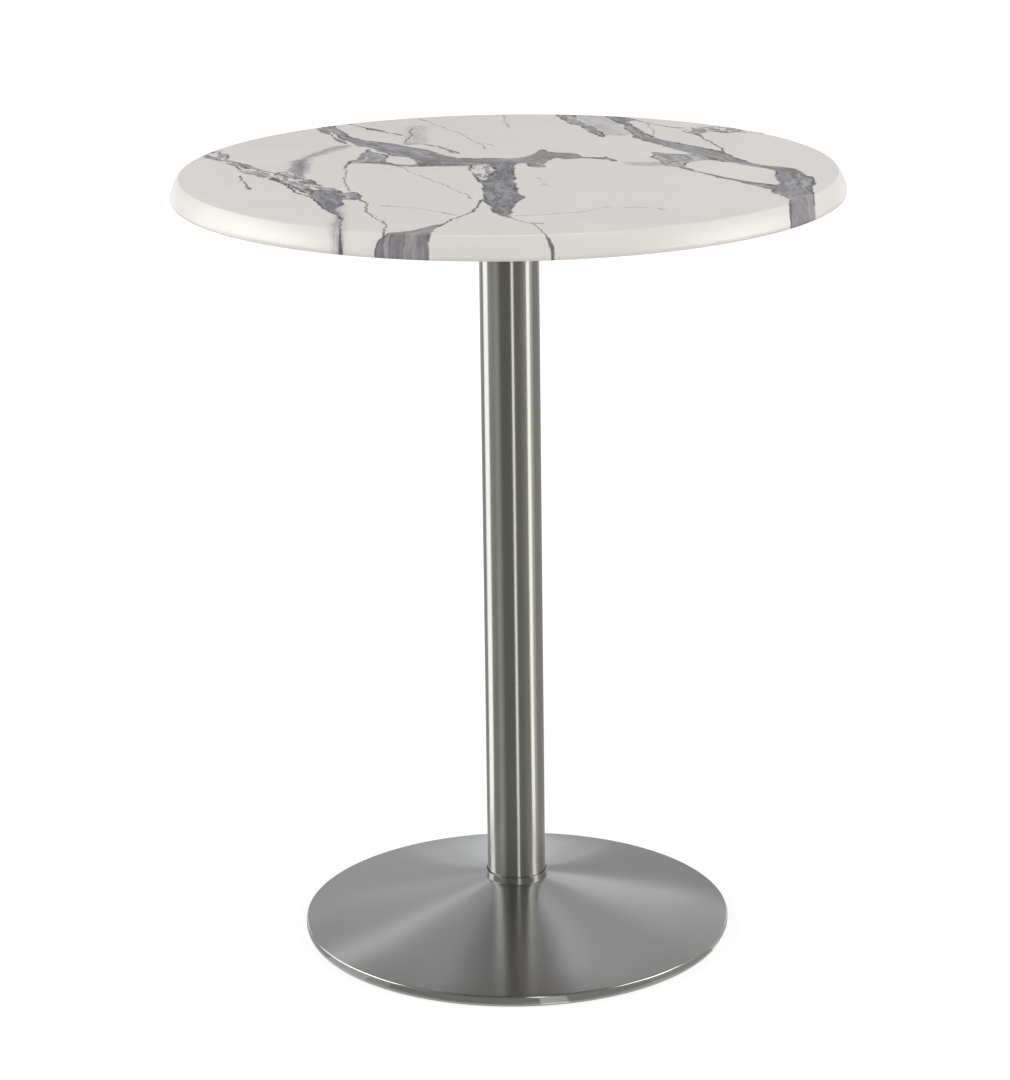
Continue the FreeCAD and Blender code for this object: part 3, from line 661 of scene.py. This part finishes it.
@dataclass(frozen=True)
class BrushedSteel:
    """Satin stainless steel, brushed round the table's axis."""

    effects: SharedEffects
    name: str
    tone: Colour = (0.56, 0.56, 0.55)
    roughness: float = 0.24
    anisotropy: float = 0.85
    pitch: float = 1400.0
    zones: tuple[Zone, ...] = ()
    clouds: float = 9.0
    wear: float = 0.02
    line_shade: float = 0.05
    line_roughness: float = 0.03
    line_relief: float = 0.01
    line_depth: float = 0.2 * MM
    quarter_turn: float = 0.25

    def material(self) -> Material:
        """Builds the steel's material and returns it."""
        material, wiring, shader = plain_shader(self.name)
        place = wiring.place()
        brush = {"Place": place, "Pitch": self.pitch}
        lines = wiring.group(self.effects.turned_lines, brush)["Lines"]
        worn = wiring.group(self.effects.mottle, {"Place": place, "Broad": self.clouds})["Broad"]
        shade = wiring.math("MULTIPLY_ADD", lines, self.line_shade, 1.0 - self.line_shade / 2)
        rough = wiring.math("MULTIPLY_ADD", worn, self.wear, self.roughness - self.wear)
        rough = wiring.math("MULTIPLY_ADD", lines, self.line_roughness, rough)
        radius = wiring.length(wiring.vector("MULTIPLY", place, (1.0, 1.0, 0.0)))
        # a zone may also scale the tone; on the cover this paints shade into the joint at the column's
        # foot
        for zone in self.zones:
            rougher = wiring.ease(radius, zone.start, zone.full, 0.0, zone.rougher)
            rough = wiring.math("ADD", rough, rougher)
            tone = wiring.ease(radius, zone.start, zone.full, 1.0, zone.tone)
            shade = wiring.times(shade, tone)
        relief = {"Height": lines, "Strength": self.line_relief, "Distance": self.line_depth}
        round_axis = wiring.vector("CROSS_PRODUCT", (0.0, 0.0, 1.0), place)
        wiring.fill(shader, {
            "Base Color": wiring.blend(1.0, self.tone, shade, "MULTIPLY"),
            "Roughness": rough,
            "Normal": wiring.add("Bump", relief).outputs[0],
            "Tangent": wiring.vector("NORMALIZE", round_axis),
            "Metallic": 1.0,
            "Anisotropic": self.anisotropy,
            "Anisotropic Rotation": self.quarter_turn,
        })
        return material


@dataclass(frozen=True)
class MottledFinish:
    """A plain finish with cloudy colour, uneven gloss and a fine grain in relief."""

    effects: SharedEffects
    name: str
    tone: Colour
    shade: Colour
    roughness: float
    broad: float
    fine: float
    relief: float
    metallic: float
    grain_depth: float = 0.2 * MM
    fleck: tuple[float, float] = (0.38, 0.62)
    fleck_share: float = 0.6
    uneven_gloss: float = 0.12

    def material(self) -> Material:
        """Builds the finish's material and returns it."""
        material, wiring, shader = plain_shader(self.name)
        grains = {"Place": wiring.place(), "Broad": self.broad, "Fine": self.fine}
        mottle = wiring.group(self.effects.mottle, grains)
        flecks = wiring.ease(mottle["Fine"], *self.fleck)
        clouds = wiring.times(mottle["Broad"], 1.0 - self.fleck_share)
        share = wiring.math("MULTIPLY_ADD", flecks, self.fleck_share, clouds)
        rough = wiring.math("MULTIPLY_ADD", mottle["Broad"], self.uneven_gloss, self.roughness)
        relief = {"Height": mottle["Fine"], "Strength": self.relief, "Distance": self.grain_depth}
        wiring.fill(shader, {
            "Base Color": wiring.blend(share, self.tone, self.shade),
            "Roughness": rough,
            "Normal": wiring.add("Bump", relief).outputs[0],
            "Metallic": self.metallic,
        })
        return material


@dataclass
class TurnedProfile:
    """A half section drawn point by point in the XZ plane, then turned about Z."""

    bm: bmesh.types.BMesh = field(default_factory=bmesh.new)
    pen: bmesh.types.BMVert | None = None
    first: bmesh.types.BMVert | None = None

    def start(self, radius: float, height: float) -> "TurnedProfile":
        """Puts the pen down and returns the profile."""
        self.pen = self.first = self.bm.verts.new((radius, 0.0, height))
        return self

    def line(self, radius: float, height: float) -> "TurnedProfile":
        """Draws straight to a point and returns the profile."""
        found = bmesh.ops.extrude_vert_indiv(self.bm, verts=[self.pen])["verts"][0]
        found.co = (radius, 0.0, height)
        self.pen = found
        return self

    def arc(self, radius: float, height: float, turn: float, steps: int) -> "TurnedProfile":
        """Swings the pen about a centre.

        Args:
            radius: the centre's distance from the axis.
            height: the centre's height.
            turn: the angle in radians, positive from up towards outwards.
            steps: how many straight steps the arc has.

        Returns:
            The profile.
        """
        swung = bmesh.ops.spin(
            self.bm, geom=[self.pen], cent=(radius, 0.0, height), axis=(0.0, 1.0, 0.0),
            angle=turn, steps=steps, use_duplicate=False,
        )
        self.pen = next(v for v in swung["geom_last"] if isinstance(v, bmesh.types.BMVert))
        return self

    def close(self) -> "TurnedProfile":
        """Joins the pen to the first point and returns the profile."""
        self.bm.edges.new((self.pen, self.first))
        return self

    def turn(self, name: str, steps: int, sharp_deg: float = 35.0) -> Piece:
        """Turns the section all the way round.

        Args:
            name: the piece's name.
            steps: steps in the full turn.
            sharp_deg: edges that bend more than this stay sharp.

        Returns:
            The finished piece.
        """
        bmesh.ops.spin(
            self.bm, geom=self.bm.verts[:] + self.bm.edges[:], cent=(0.0, 0.0, 0.0),
            axis=(0.0, 0.0, 1.0), angle=2 * math.pi, steps=steps, use_merge=True, use_duplicate=False,
        )
        bmesh.ops.remove_doubles(self.bm, verts=self.bm.verts[:], dist=MERGE)
        bmesh.ops.dissolve_degenerate(self.bm, edges=self.bm.edges[:], dist=SLIVER)
        bmesh.ops.recalc_face_normals(self.bm, faces=self.bm.faces[:])
        piece = linked_object(name, self.bm)
        piece.data.shade_smooth()
        piece.data.set_sharp_from_angle(angle=math.radians(sharp_deg))
        return piece


def install(piece: Piece, node: str, material: Material) -> None:
    """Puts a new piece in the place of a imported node.

    Args:
        piece: the new piece.
        node: the node it stands for.
        material: the piece's finish.
    """
    piece.data.materials.append(material)
    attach(piece, BODY)
    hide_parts(node)
    LOG.info("%s stands for %s", piece.name, node)


@dataclass
class TableTop:
    """The top's decor sheet, turned again. Core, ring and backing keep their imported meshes."""

    skin: float = 0.8 * MM
    skin_return: float = 16.0 * MM
    edge_inset: float = 12.0 * MM
    crown_radius: float = 70.0 * MM
    foot_radius: float = 5.0 * MM
    crease_radius: float = 2.0 * MM
    face_rings: tuple[float, ...] = (0.4, 0.7, 0.9, 1.0)
    crease_steps: int = 6
    arc_steps: int = 10
    steps: int = 384

    def __post_init__(self) -> None:
        """Takes the sheet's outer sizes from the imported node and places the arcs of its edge."""
        low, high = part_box("decor_skin")
        self.radius = high.x
        self.face = high.z
        self.foot = Vector((self.radius - self.foot_radius, low.z + self.foot_radius))
        # the crown starts at the face's rim and runs on smoothly into the foot's rounding
        to_rim = Vector((self.foot_radius - self.edge_inset, self.face - self.foot.y))
        between = self.crown_radius - self.foot_radius
        along = (self.crown_radius**2 - between**2 - to_rim.length_squared) / (2 * between)
        self.join = math.atan2(to_rim.y, to_rim.x) - math.acos(along / to_rim.length)
        self.crown = self.foot - between * Vector((math.cos(self.join), math.sin(self.join)))

    def _crease(self, inset: float) -> tuple[Vector, float]:
        """Where the face and the crown meet, both moved inwards.

        Args:
            inset: how far inside the outer face they run.

        Returns:
            The place, and its angle about the crown's centre.
        """
        rise = self.face - inset - self.crown.y
        reach = math.sqrt((self.crown_radius - inset) ** 2 - rise**2)
        return self.crown + Vector((reach, rise)), math.atan2(rise, reach)

    def _sheet(self) -> Piece:
        """Turns the decor sheet: face, crowned edge, fold under, and back along its inside."""
        under = self.foot.y - self.foot_radius
        return_at = self.foot.x - self.skin_return
        crease, crease_turn = self._crease(self.crease_radius)
        inner_turn = self._crease(self.skin)[1]
        profile = TurnedProfile().start(0.0, self.face)
        for share in self.face_rings:
            profile.line(share * crease.x, self.face)
        profile.arc(*crease, math.pi / 2 - crease_turn, self.crease_steps)
        profile.arc(*self.crown, crease_turn - self.join, self.arc_steps)
        profile.arc(*self.foot, math.pi / 2 + self.join, self.arc_steps)
        profile.line(return_at, under)
        profile.line(return_at, under + self.skin)
        profile.line(self.foot.x, under + self.skin)
        profile.arc(*self.foot, -math.pi / 2 - self.join, self.arc_steps)
        profile.arc(*self.crown, self.join - inner_turn, self.arc_steps)
        profile.line(0.0, self.face - self.skin)
        return profile.turn("decor_sheet", self.steps)

    def build(self, effects: SharedEffects) -> None:
        """Makes the sheet and dresses it."""
        decor = MarbleDecor(effects, self.radius)
        install(self._sheet(), "decor_skin", decor.material())


@dataclass
class Column:
    """The stainless tube, with its cut ends broken."""

    wall: float = 1.5 * MM
    broken_edge: float = 0.3 * MM
    steps: int = 256

    def build(self, effects: SharedEffects) -> None:
        """Turns the tube and dresses it."""
        low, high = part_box("column_tube")
        outer = high.x
        inner = outer - self.wall
        chip = self.broken_edge
        profile = TurnedProfile().start(inner, low.z)
        profile.line(outer - chip, low.z).line(outer, low.z + chip)
        profile.line(outer, high.z - chip).line(outer - chip, high.z).line(inner, high.z).close()
        steel = BrushedSteel(effects, "column_steel", tone=(0.50, 0.495, 0.465), roughness=0.22)
        install(profile.turn("column", self.steps), "column_tube", steel.material())


@dataclass
class SpunBase:
    """The spun cover over the base plate, up to its collar round the column's foot."""

    wall: float = 1.2 * MM
    skirt: float = 5.3 * MM
    shoulder: float = 2.7 * MM
    slope: float = math.radians(12.4)
    packed_neck: float = 9.0 * MM
    collar: float = 2.0 * MM
    joint: float = 0.9 * MM
    cone_rings: tuple[float, ...] = (0.25, 0.5, 0.75)
    joint_steps: int = 12
    shoulder_steps: int = 10
    steps: int = 384

    def __post_init__(self) -> None:
        """Takes the cover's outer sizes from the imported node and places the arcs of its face.

        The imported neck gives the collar's radius. The sweep that shows is the tighter joint.
        """
        low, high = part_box("base_cover")
        self.foot, self.head, self.radius = low.z, high.z, high.x
        self.lean = Vector((math.sin(self.slope), math.cos(self.slope)))
        self.shoulder_at = Vector((self.radius - self.shoulder, self.foot + self.skirt))
        self.cone_foot = self.shoulder_at + self.shoulder * self.lean
        packed_top = self.head - self.collar - self.packed_neck * self.lean.y
        packed_rise = packed_top - self.cone_foot.y
        packed_head = self.cone_foot.x - packed_rise / math.tan(self.slope)
        self.collar_radius = packed_head + self.packed_neck * (self.lean.x - 1.0)
        cone_head = self.collar_radius + self.joint * (1.0 - self.lean.x)
        rise = (self.cone_foot.x - cone_head) * math.tan(self.slope)
        self.joint_at = Vector((cone_head, self.cone_foot.y + rise)) + self.joint * self.lean

    def _face(self, profile: TurnedProfile, inset: float, outwards: bool) -> None:
        """Draws the cover's face between skirt and collar, moved inwards by inset.

        Args:
            profile: the profile to draw in.
            inset: how far inside the outer face the line runs.
            outwards: True to run from the collar out to the skirt, False to run back.
        """
        collar_at = self.collar_radius - inset
        turn = math.pi / 2 - self.slope
        cone_foot = self.cone_foot - inset * self.lean
        cone_head = self.joint_at - (self.joint + inset) * self.lean
        if outwards:
            profile.line(collar_at, self.joint_at.y)
            profile.arc(*self.joint_at, -turn, self.joint_steps)
            for share in self.cone_rings:
                profile.line(*cone_head.lerp(cone_foot, share))
            profile.line(*cone_foot)
            profile.arc(*self.shoulder_at, turn, self.shoulder_steps)
            profile.line(self.radius - inset, self.foot)
        else:
            profile.line(self.radius - inset, self.shoulder_at.y)
            profile.arc(*self.shoulder_at, -turn, self.shoulder_steps)
            profile.line(*cone_head)
            profile.arc(*self.joint_at, turn, self.joint_steps)
            profile.line(collar_at, self.head)

    def build(self, effects: SharedEffects) -> None:
        """Turns the cover and dresses it."""
        profile = TurnedProfile().start(self.collar_radius, self.head)
        self._face(profile, 0.0, outwards=True)
        profile.line(self.radius - self.wall, self.foot)
        self._face(profile, self.wall, outwards=False)
        profile.close()
        # a thin ring of painted shade in the joint at the column's foot, the collar inside it brought
        # back nearly to the cone's tone, and a smoother shoulder
        zones = (
            Zone(0.0434, 0.0430, 0.10, 0.36),
            Zone(0.0428, 0.0425, -0.08, 2.5),
            Zone(0.2905, 0.2925, -0.04),
        )
        steel = BrushedSteel(
            effects, "cover_steel", roughness=0.195, anisotropy=0.6, pitch=1100.0, zones=zones
        )
        install(profile.turn("cover", self.steps), "base_cover", steel.material())


PLAIN_FINISHES = (
    # slot, tone, shade, roughness, broad grain, fine grain, relief, metallic
    ("core_board", (183, 152, 112), (120, 88, 56), 0.72, 14.0, 420.0, 0.50, 0.0),
    ("backing_sheet", (92, 86, 80), (78, 73, 68), 0.55, 6.0, 240.0, 0.10, 0.0),
    ("black_steel", (38, 38, 39), (29, 29, 30), 0.48, 9.0, 1500.0, 0.25, 0.0),
    ("zinc_steel", (198, 198, 194), (172, 174, 176), 0.26, 60.0, 700.0, 0.06, 1.0),
    ("black_rubber", (86, 85, 81), (74, 73, 70), 0.66, 20.0, 900.0, 0.20, 0.0),
    ("black_nylon", (44, 44, 45), (36, 36, 37), 0.42, 24.0, 1100.0, 0.15, 0.0),
)


@dataclass
class PackedPieces:
    """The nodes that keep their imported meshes, dressed by the record's material slots."""

    replaced: tuple[str, ...] = ("decor_skin", "column_tube", "base_cover")

    def finishes(self, effects: SharedEffects) -> dict[str, Material]:
        """Builds one material for each slot and returns them by slot."""
        made = {}
        for slot, tone, shade, *looks in PLAIN_FINISHES:
            finish = MottledFinish(effects, slot, srgb(*tone), srgb(*shade), *looks)
            made[slot] = finish.material()
        plate = BrushedSteel(effects, "plate_steel", tone=(0.52, 0.52, 0.52), roughness=0.3)
        made["stainless"] = plate.material()
        return made

    def build(self, effects: SharedEffects) -> None:
        """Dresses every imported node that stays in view."""
        finishes = self.finishes(effects)
        for subpart in frame["record"]["subparts"]:
            node, slot = subpart["node"], subpart["material_slot"]
            if node in self.replaced:
                continue
            mesh = frame["nodes"][node].data
            mesh.materials.clear()
            mesh.materials.append(finishes[slot])
            LOG.info("%s keeps its mesh, in %s", node, slot)


@dataclass(frozen=True)
class Card:
    """A studio card that the steel mirrors: a sector of floor and wall round the table.

    It runs on from the card before it to its end, in degrees from the front, positive to the right. The
    lights are those of the floor with the wall's foot, of the wall's middle and of its upper part.
    """

    end: float
    low: float
    middle: float
    upper: float


@dataclass(frozen=True)
class Panel:
    """A smaller panel on the wall, with its sector in degrees, its heights and its light."""

    start: float
    end: float
    foot: float
    top: float
    light: float


@dataclass(frozen=True)
class Lamp:
    """A soft lamp aimed at the middle of the top, placed by its angles from there in degrees."""

    name: str
    azimuth: float
    elevation: float
    distance: float
    width: float
    height: float
    watts: float


CARDS = (
    Card(-176.0, 0.80, 0.56, 0.08),
    Card(-173.0, 0.60, 0.56, 0.16),
    Card(-170.5, 0.44, 0.56, 0.26),
    Card(-168.5, 0.44, 0.56, 0.33),
    Card(-166.0, 0.44, 0.56, 0.52),
    Card(-163.5, 0.44, 0.56, 0.34),
    Card(-145.0, 0.42, 0.42, 0.34),
    Card(-122.0, 0.34, 0.50, 0.36),
    Card(-94.0, 1.90, 1.90, 0.90),
    Card(-64.0, 0.27, 0.80, 0.28),
    Card(-46.0, 0.44, 0.40, 0.28),
    Card(-38.0, 0.28, 0.24, 0.20),
    Card(6.0, 0.18, 0.12, 0.10),
    Card(13.5, 1.70, 1.70, 1.40),
    Card(40.0, 0.21, 0.24, 0.17),
    Card(67.0, 0.26, 0.30, 0.22),
    Card(82.0, 1.90, 1.90, 1.60),
    Card(96.0, 0.60, 1.20, 0.40),
    Card(130.0, 0.34, 0.46, 0.36),
    Card(150.0, 0.36, 0.56, 0.36),
    Card(163.0, 0.34, 0.46, 0.40),
    Card(165.8, 0.34, 0.72, 0.58),
    Card(168.5, 0.34, 0.76, 0.30),
    Card(171.8, 0.34, 0.76, 0.90),
    Card(174.0, 0.34, 0.74, 0.40),
    Card(176.5, 0.60, 0.70, 0.20),
    Card(180.0, 0.80, 0.68, 0.08),
)

PANELS = (
    Panel(-178.0, -146.0, 2.20, 2.66, 0.78),
    Panel(-104.0, -66.0, 1.35, 2.60, 4.40),
    Panel(150.0, 179.0, 2.05, 2.65, 0.44),
    Panel(54.0, 96.0, 1.25, 2.35, 3.70),
    Panel(-158.0, -140.0, 0.30, 1.15, 1.20),
    Panel(140.0, 158.0, 0.30, 1.25, 1.20),
)

LAMPS = (
    Lamp("lamp_left", -82.0, 22.0, 2.6, 2.4, 1.1, 34.0),
    Lamp("lamp_right", 75.0, 22.0, 2.6, 2.0, 1.1, 28.0),
    Lamp("lamp_front", 0.0, 4.0, 4.0, 2.0, 1.0, 28.0),
    Lamp("lamp_over", 0.0, 89.0, 2.2, 2.4, 2.4, 12.0),
)


def direction(azimuth: float, elevation: float) -> Vector:
    """The unit vector at two angles in radians, from the front and from level."""
    level = math.cos(elevation)
    return Vector((math.sin(azimuth) * level, -math.cos(azimuth) * level, math.sin(elevation)))


@dataclass
class Studio:
    """Pale floor, white background, soft lamps, the cards that the steel mirrors, and the camera."""

    floor_half: float = 30.0
    floor_paint: Colour = (0.85, 0.85, 0.85)
    seen_paint: Colour = (0.22, 0.22, 0.22)
    shaded: tuple[float, float] = (0.6, 1.6)
    shaded_fill: float = 0.83
    # painted shadow: the floor's glow drops inside the base's rim
    shadow_under_base: tuple[float, float] = (0.2895, 0.2925)
    shadow_under_base_glow: float = 0.25
    air_light: float = 0.45
    lamp_aim: float = 1.0
    card_inner: float = 0.297
    near_reach: float = 0.40
    card_reach: float = 3.4
    card_height: float = 1.5 * MM
    card_steps: int = 12
    wall_foot: float = 0.95
    wall_middle: float = 2.62
    wall_top: float = 4.2
    near_share: float = 1.4
    near_most: float = 0.55
    rim_inside: float = 3.0 * MM
    rim_outside: float = 6.0 * MM
    rim_height: float = 1.0 * MM
    rim_light: float = 2.4
    lit: float = 1.0
    panel_gap: float = 0.04
    ceiling_light: float = 0.20
    softbox_hole: float = 0.02
    softbox_radius: float = 0.8
    softbox_drop: float = 0.5
    softbox_light: float = 7.0
    warm_within: float = 100.0
    warm: Colour = (1.0, 0.99, 0.94)
    cool: Colour = (0.97, 0.98, 1.0)

    def _card(
        self, name: str, start: float, end: float, points: tuple[tuple[float, float], ...], light: float
    ) -> None:
        """Makes one lit sheet that only mirror rays see.

        Args:
            name: the sheet's name.
            start: where its sector starts, in degrees from the front.
            end: where its sector ends.
            points: the sheet's section as radius and height.
            light: its brightness.
        """
        bm = bmesh.new()
        pen = bm.verts.new((0.0, -points[0][0], points[0][1]))
        for radius, height in points[1:]:
            pen = bmesh.ops.extrude_vert_indiv(bm, verts=[pen])["verts"][0]
            pen.co = (0.0, -radius, height)
        first = Matrix.Rotation(math.radians(start), 3, "Z")
        bmesh.ops.rotate(bm, verts=bm.verts[:], cent=(0.0, 0.0, 0.0), matrix=first)
        bmesh.ops.spin(
            bm, geom=bm.verts[:] + bm.edges[:], cent=(0.0, 0.0, 0.0), axis=(0.0, 0.0, 1.0),
            angle=math.radians(end - start), steps=self.card_steps, use_duplicate=False,
        )
        sheet = linked_object(name, bm)
        tint = self.warm if abs(start) < self.warm_within else self.cool
        sheet.data.materials.append(self._glow(name, tint, light))
        for ray in ("camera", "diffuse", "shadow", "transmission", "volume_scatter"):
            setattr(sheet, "visible_" + ray, False)

    def _glow(self, name: str, tint: Colour, light: float) -> Material:
        """An even glow of the given tint and brightness."""
        material = bpy.data.materials.new(name)
        wiring = blank_tree(material)
        glow = wiring.add("Emission", {"Color": tint, "Strength": light})
        wiring.add("OutputMaterial", {"Surface": glow.outputs[0]})
        material.cycles.emission_sampling = "AUTO" if light > self.lit else "NONE"
        return material

    def _floor(self) -> None:
        """A pale floor that shows as white and still takes the table's shadow, with a painted shadow in
        the gap under the base's rim.
        """
        bm = bmesh.new()
        bmesh.ops.create_grid(bm, x_segments=1, y_segments=1, size=self.floor_half)
        floor = linked_object("floor", bm)
        material, wiring, shader = plain_shader("pale_floor")
        distance = wiring.length(wiring.place())
        # under the base's rim the glow drops: a painted shadow in the gap under the rim
        fill = wiring.times(
            wiring.ease(distance, *self.shaded, self.shaded_fill, 1.0),
            wiring.ease(distance, *self.shadow_under_base, self.shadow_under_base_glow, 1.0),
        )
        # seen paint takes only part of the light, so the table's shadow stays faint on white
        seen = self._seen(wiring)
        wiring.fill(shader, {
            "Base Color": wiring.blend(seen, self.floor_paint, self.seen_paint),
            "Roughness": 1.0,
            "Specular IOR Level": 0.0,
            "Emission Color": (1.0, 1.0, 1.0),
            "Emission Strength": wiring.times(fill, seen),
        })
        floor.data.materials.append(material)

    @staticmethod
    def _seen(wiring: Wiring) -> Socket:
        """1 for rays that show the background itself, 0 for those that carry its light."""
        path = wiring.add("LightPath").outputs
        seen = wiring.math("MAXIMUM", path["Is Camera Ray"], path["Is Glossy Ray"])
        return wiring.math("MAXIMUM", seen, path["Is Transmission Ray"])

    def _world(self) -> None:
        """White where it shows, and an even dim light elsewhere."""
        world = bpy.data.worlds.new("studio_air")
        wiring = blank_tree(world)
        shown = self._seen(wiring)
        strength = wiring.math("MULTIPLY_ADD", shown, 1.0 - self.air_light, self.air_light)
        air = wiring.add("Background", {"Color": (1.0, 1.0, 1.0), "Strength": strength})
        wiring.add("OutputWorld", {"Surface": air.outputs[0]})
        bpy.context.scene.world = world

    def _lamp(self, lamp: Lamp) -> None:
        """Hangs one lamp, which the steel doesn't mirror."""
        light = bpy.data.lights.new(lamp.name, "AREA")
        light.shape = "RECTANGLE"
        light.size, light.size_y = lamp.width, lamp.height
        light.energy = lamp.watts
        towards = direction(math.radians(lamp.azimuth), math.radians(lamp.elevation))
        rig = bpy.data.objects.new(lamp.name, light)
        rig.location = Vector((0.0, 0.0, self.lamp_aim)) + lamp.distance * towards
        rig.rotation_mode = "QUATERNION"
        rig.rotation_quaternion = (-towards).to_track_quat("-Z", "Y")
        rig.visible_glossy = False
        bpy.context.scene.collection.objects.link(rig)

    @staticmethod
    def _camera() -> None:
        """The camera that was fitted to the photograph's outline, for a frame of 1010 by 1080."""
        place = Vector((0.0, -4.4409, 1.8870))
        pitch, yaw, roll = 0.2908, -0.0023, -0.013
        focal_pixels, frame_pixels, sensor = 3411.37, 1080.0, 36.0
        back = direction(-yaw, pitch)
        right = Vector((math.cos(yaw), -math.sin(yaw), 0.0))
        up = back.cross(right)
        rolled_right = math.cos(roll) * right + math.sin(roll) * up
        rolled_up = math.cos(roll) * up - math.sin(roll) * right
        turn = Matrix((rolled_right, rolled_up, back)).transposed()
        data = bpy.data.cameras.new("camera")
        data.sensor_width = sensor
        data.lens = focal_pixels * sensor / frame_pixels
        camera = bpy.data.objects.new("camera", data)
        camera.matrix_world = Matrix.Translation(place) @ turn.to_4x4()
        bpy.context.scene.collection.objects.link(camera)
        bpy.context.scene.camera = camera

    def _cards(self) -> None:
        """Sets up the cards all the way round: near floor, floor with wall's foot, middle and upper."""
        near = (self.near_reach, self.card_height)
        inner = (self.card_inner, self.card_height)
        corner = (self.card_reach, self.card_height)
        foot, middle, top = (
            (self.card_reach, height) for height in (self.wall_foot, self.wall_middle, self.wall_top)
        )
        under_rim = (
            (self.card_inner - self.rim_inside, self.rim_height),
            (self.card_inner + self.rim_outside, self.rim_height),
        )
        start = -180.0
        for number, card in enumerate(CARDS):
            near_light = min(self.near_most, self.near_share * card.low)
            self._card(f"card_near_{number}", start, card.end, (inner, near), near_light)
            if card.low > self.lit:
                self._card(f"card_rim_{number}", start, card.end, under_rim, self.rim_light)
            self._card(f"card_low_{number}", start, card.end, (near, corner, foot), card.low)
            self._card(f"card_middle_{number}", start, card.end, (foot, middle), card.middle)
            self._card(f"card_upper_{number}", start, card.end, (middle, top), card.upper)
            start = card.end

    def build(self) -> None:
        """Sets up the whole studio."""
        self._camera()
        self._world()
        self._floor()
        self._cards()
        reach = self.card_reach - self.panel_gap
        for number, panel in enumerate(PANELS):
            upright = ((reach, panel.foot), (reach, panel.top))
            self._card(f"panel_{number}", panel.start, panel.end, upright, panel.light)
        ceiling = ((self.card_reach, self.wall_top), (0.0, self.wall_top))
        self._card("card_ceiling", -180.0, 180.0, ceiling, self.ceiling_light)
        height = self.wall_top - self.softbox_drop
        softbox = ((self.softbox_hole, height), (self.softbox_radius, height))
        self._card("card_softbox", -180.0, 180.0, softbox, self.softbox_light)
        for lamp in LAMPS:
            self._lamp(lamp)
        bpy.context.scene.view_settings.view_transform = "Standard"
        LOG.info("studio set")


def main() -> None:
    """Builds the table's pieces and its studio in order."""
    logging.basicConfig(level=logging.INFO, format="%(name)s: %(message)s")
    effects = SharedEffects(VeinGrain())
    TableTop().build(effects)
    Column().build(effects)
    SpunBase().build(effects)
    PackedPieces().build(effects)
    Studio().build()


if __name__ == "__main__":
    main()
